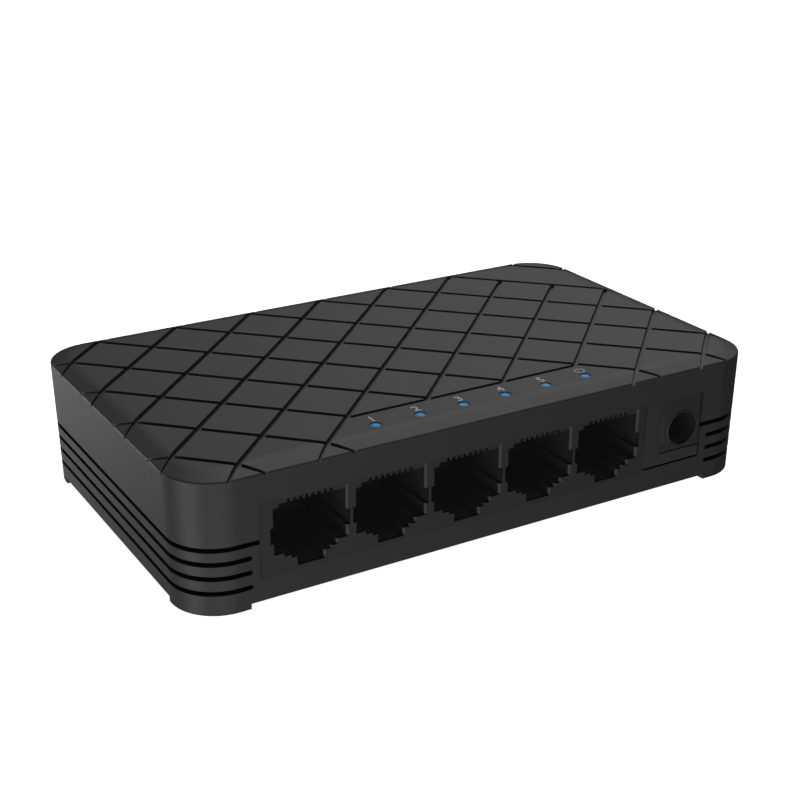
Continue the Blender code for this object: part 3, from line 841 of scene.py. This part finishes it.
def jack_plastic():
    """The same plastic as the case in front; inside, duller, with painted shade (a darker colour)
    and a faint painted glow.
    """
    m = Nodes("jack_plastic")
    inside = m.step_of("Y", BLOCK_FRONT + LIP_DEEP - 0.15, 0.25)
    front = m.blend(m.span(m.noise(9.0), 0, 1), *BLACKS)
    # Inside the jack the colour is darker: painted shade.
    m.set("Base Color", m.blend(inside, front, (0.009, 0.009, 0.0094)))
    dull = m.add("ShaderNodeMath", operation="ADD")
    m.link(m.span(m.noise(2.5, 4.0), 0.405, 0.44), dull.inputs[0])
    m.link(m.span(inside, 0.0, 0.4, 0.0, 1.0), dull.inputs[1])
    m.set("Roughness", dull.outputs[0])
    m.set("Specular IOR Level", 0.42)
    # A faint painted glow inside the jack lifts its black; it is not a lamp.
    m.set("Emission Color", (1.0, 1.0, 1.0, 1.0))
    m.set("Emission Strength", m.span(inside, 0.0, 0.003, 0.0, 1.0))
    m.set("Normal", m.bump(m.noise(0.25, 2.0, 0.6), 0.012))
    return m.material


def green_board():
    """Solder mask over raised tracks."""
    m = Nodes("solder_mask")
    tracks = m.add("ShaderNodeTexVoronoi", feature="DISTANCE_TO_EDGE")
    tracks.inputs["Scale"].default_value = 1 / (2.2 * MM)
    m.link(m.coord, tracks.inputs["Vector"])
    copper = m.span(tracks.outputs["Distance"], 1.0, 0.0, 0.02, 0.05)
    m.set("Base Color", m.blend(copper, (0.012, 0.09, 0.035), (0.03, 0.19, 0.08)))
    m.set("Roughness", m.span(m.noise(1.5), 0.28, 0.42))
    m.set("Normal", m.bump(copper, 0.03, 0.6))
    return m.material


def moulded_epoxy():
    m = Nodes("moulded_epoxy_body")
    patch = m.span(m.noise(1.2), 0, 1)
    m.set("Base Color", m.blend(patch, (0.018, 0.018, 0.02), (0.03, 0.03, 0.032)))
    m.set("Roughness", m.span(m.noise(0.4), 0.5, 0.65))
    m.set("Normal", m.bump(m.noise(0.12, 2.0), 0.01))
    return m.material


def bright_metal(name, dark, light, rough, stretch=(1, 1, 1)):
    """Plated metal with drawn streaks, a little tarnish and fine scratches."""
    m = Nodes(name)
    m.set("Metallic", 1.0)
    streak = m.noise(0.5, 4.0, 0.6, stretch)
    m.set("Base Color", m.blend(m.span(m.noise(3.0), 0, 1), dark, light))
    m.set("Roughness", m.span(streak, rough - 0.08, rough + 0.12))
    m.set("Normal", m.bump(streak, 0.006))
    return m.material


def contact_finish():
    """Gold springs in front, and the black carrier that holds them behind, both with a faint
    painted glow.
    """
    m = Nodes("gold_springs_in_carrier")
    behind = m.step_of("Y", BLOCK_FRONT + PORT_DEEP + 0.3)
    gold = m.blend(m.span(m.noise(0.6), 0, 1), (0.16, 0.11, 0.045), (0.26, 0.18, 0.08))
    m.set("Base Color", m.blend(behind, gold, (0.015, 0.015, 0.016)))
    m.set("Metallic", m.span(behind, 1.0, 0.0, 0.0, 1.0))
    m.set("Roughness", m.span(m.noise(0.3), 0.28, 0.45))
    # Painted glow: a faint emission, stronger on the carrier, lifts the dark inside the jack.
    m.set("Emission Color", (1.0, 1.0, 1.0, 1.0))
    m.set("Emission Strength", m.span(behind, 0.0014, 0.003, 0.0, 1.0))
    m.set("Normal", m.bump(m.noise(0.15), 0.008))
    return m.material


def light_guide_finish():
    """Clear resin, frosted blue and lit at the tips."""
    m = Nodes("lit_resin")
    up = m.step_of("Z", 22.0, 0.6)
    m.set("Base Color", m.blend(up, (0.6, 0.7, 0.8), (0.01, 0.045, 0.12)))
    m.set("Roughness", m.span(m.noise(0.5), 0.3, 0.42))
    m.set("Specular IOR Level", 0.35)
    glow = m.blend(m.span(m.noise(0.35, 2.0), 0, 1), (0.004, 0.13, 0.3), (0.01, 0.18, 0.41))
    m.set("Emission Color", glow)
    # The middle of each tip, the highest part, is the brightest.
    crown = m.step_of("Z", TOP_Z - TIP_DOME / 2, TIP_DOME / 2)
    m.set("Emission Strength", m.span(crown, 0.0, 1.0, 0.05, 0.95))
    m.set("Normal", m.bump(m.noise(0.2), 0.01))
    return m.material


def led_package():
    m = Nodes("led_lens")
    m.set("Base Color", m.blend(m.span(m.noise(0.4), 0, 1), (0.6, 0.65, 0.7), (0.75, 0.8, 0.85)))
    m.set("Roughness", m.span(m.noise(0.2), 0.2, 0.4))
    m.set("Emission Color", (0.05, 0.3, 1.0, 1.0))
    m.set("Emission Strength", 0.6)
    m.set("Normal", m.bump(m.noise(0.1), 0.005))
    return m.material


def printed_ink():
    m = Nodes("pale_print")
    patch = m.span(m.noise(0.25, 4.0), 0, 1)
    m.set("Base Color", m.blend(patch, (0.42, 0.43, 0.45), (0.58, 0.59, 0.61)))
    m.set("Roughness", m.span(m.noise(0.2), 0.45, 0.6))
    m.set("Normal", m.bump(m.noise(0.12), 0.006))
    return m.material


def assign(names, material):
    """Gives a material to CAD nodes that are shown as they are."""
    for name in names:
        for slot in NODES[name].material_slots:
            slot.material = material


# ---------------------------------------------------------------- stage

FLOOR_GLOW = 1.0
WORLD_BASE = 0.05  # light from every direction
LENS = 66.1
TARGET = (0.5, 0.0, 12.955)
AZIMUTH = math.radians(-30.535)
ELEVATION = math.radians(22.72)
DISTANCE = 261.172


def make_stage():
    """A wide pale floor that only the camera sees, so that it neither lights nor mirrors."""
    bm = bmesh.new()
    bmesh.ops.create_grid(bm, x_segments=1, y_segments=1, size=4000)
    bmesh.ops.scale(bm, vec=(MM, MM, MM), verts=bm.verts)
    mesh = bpy.data.meshes.new("floor")
    bm.to_mesh(mesh)
    bm.free()
    floor = bpy.data.objects.new("floor", mesh)
    bpy.context.scene.collection.objects.link(floor)
    material = bpy.data.materials.new("pale_floor")
    material.use_nodes = True
    shader = material.node_tree.nodes["Principled BSDF"]
    shader.inputs["Base Color"].default_value = (0.9, 0.9, 0.9, 1.0)
    shader.inputs["Roughness"].default_value = 0.9
    shader.inputs["Emission Color"].default_value = (1.0, 1.0, 1.0, 1.0)
    shader.inputs["Emission Strength"].default_value = FLOOR_GLOW
    mesh.materials.append(material)
    floor.visible_diffuse = False
    floor.visible_glossy = False
    floor.visible_shadow = False


# Each soft source: its bearing from the front towards the left, its height, how far it spreads
# to each side, all in degrees, and its strength.
SOURCES = [
    (-60, -22, 40, 0.10),
    (0, -22, 40, 0.98),
    (30, -22, 25, 0.75),
    (70, -22, 25, 1.89),
    (90, -22, 25, 0.58),
    (110, -22, 25, 0.21),
    (130, -22, 25, 0.10),
    (180, 52, 45, 0.16),
    (240, 52, 45, 0.71),
    (0, 90, 45, 0.50),
    (150, -8, 20, 1.69),
    (165, -8, 20, 1.02),
    (200, 32, 20, 0.16),
    (220, 12, 20, 0.09),
    (220, 32, 20, 0.27),
    (90, -5, 20, 1.99),
    (50, -5, 20, 1.05),
    (228, 52, 25, 0.28),
    (305, 50, 30, 0.32),
]


def make_world():
    """A plain tent of soft lights, brightest to the left and behind, and white to look at."""
    world = bpy.data.worlds.new("soft_tent")
    bpy.context.scene.world = world
    world.use_nodes = True
    tree = world.node_tree
    background = tree.nodes["Background"]
    coord = tree.nodes.new("ShaderNodeTexCoord")
    total = None
    for bearing, height, spread, strength in SOURCES:
        around, up = math.radians(bearing), math.radians(height)
        dot = tree.nodes.new("ShaderNodeVectorMath")
        dot.operation = "DOT_PRODUCT"
        dot.inputs[1].default_value = (
            -math.sin(around) * math.cos(up),
            -math.cos(around) * math.cos(up),
            math.sin(up),
        )
        tree.links.new(coord.outputs["Generated"], dot.inputs[0])
        ramp = tree.nodes.new("ShaderNodeMapRange")
        ramp.interpolation_type = "SMOOTHSTEP"
        ramp.inputs["From Min"].default_value = math.cos(math.radians(spread))
        ramp.inputs["From Max"].default_value = 1.0
        ramp.inputs["To Min"].default_value = WORLD_BASE if total is None else 0.0
        ramp.inputs["To Max"].default_value = strength
        tree.links.new(dot.outputs["Value"], ramp.inputs["Value"])
        if total is None:
            total = ramp.outputs["Result"]
        else:
            add = tree.nodes.new("ShaderNodeMath")
            tree.links.new(total, add.inputs[0])
            tree.links.new(ramp.outputs["Result"], add.inputs[1])
            total = add.outputs[0]
    path = tree.nodes.new("ShaderNodeLightPath")
    pick = tree.nodes.new("ShaderNodeMix")
    tree.links.new(path.outputs["Is Camera Ray"], pick.inputs["Factor"])
    tree.links.new(total, pick.inputs[2])
    pick.inputs[3].default_value = 1.0
    tree.links.new(pick.outputs[0], background.inputs["Strength"])
    background.inputs["Color"].default_value = (1.0, 1.0, 1.0, 1.0)


def make_camera():
    """The photo's camera, as fitted to the case's edges and the lattice."""
    camera = bpy.data.cameras.new("camera")
    camera.sensor_width = 36.0
    camera.lens = LENS
    camera.clip_start = 0.01
    camera.clip_end = 50.0
    obj = bpy.data.objects.new("camera", camera)
    bpy.context.scene.collection.objects.link(obj)
    away = Vector((
        math.cos(ELEVATION) * math.sin(AZIMUTH),
        -math.cos(ELEVATION) * math.cos(AZIMUTH),
        math.sin(ELEVATION),
    ))
    obj.location = (Vector(TARGET) + away * DISTANCE) * MM
    obj.rotation_euler = (-away).to_track_quat("-Z", "Y").to_euler()
    bpy.context.scene.camera = obj


# ---------------------------------------------------------------- the scene

bpy.context.scene.view_settings.view_transform = "Standard"
bpy.context.scene.view_settings.look = "None"

black_case = case_plastic()
black_nylon = jack_plastic()

make_upper_cover(black_case)
make_lower_case(black_case)
make_jack_block(black_nylon)
make_power_jack(black_nylon)
make_light_guide(light_guide_finish())
make_marks(printed_ink())

assign(["circuit_board"], green_board())
assign([f"rj45_contacts_{i}" for i in range(1, 6)], contact_finish())
assign([f"status_led_{i}" for i in range(1, 7)], led_package())
chips = [
    "switch_chip", "magnetics_1", "magnetics_2", "magnetics_3", "voltage_regulator",
    "settings_memory", "input_diode", "power_inductor",
]
assign(chips, moulded_epoxy())
nickel = bright_metal("nickel_plating", (0.5, 0.48, 0.45), (0.66, 0.64, 0.6), 0.3)
assign(["power_jack_pin", "power_jack_spring", "crystal"], nickel)
zinc = bright_metal("zinc_plating", (0.42, 0.42, 0.43), (0.58, 0.58, 0.6), 0.36)
assign([f"case_screw_{i}" for i in range(1, 5)], zinc)
drawn = bright_metal("drawn_aluminium", (0.6, 0.6, 0.62), (0.75, 0.75, 0.77), 0.36, (1, 1, 0.1))
assign(["capacitor_1", "capacitor_2"], drawn)

make_stage()
make_world()
make_camera()
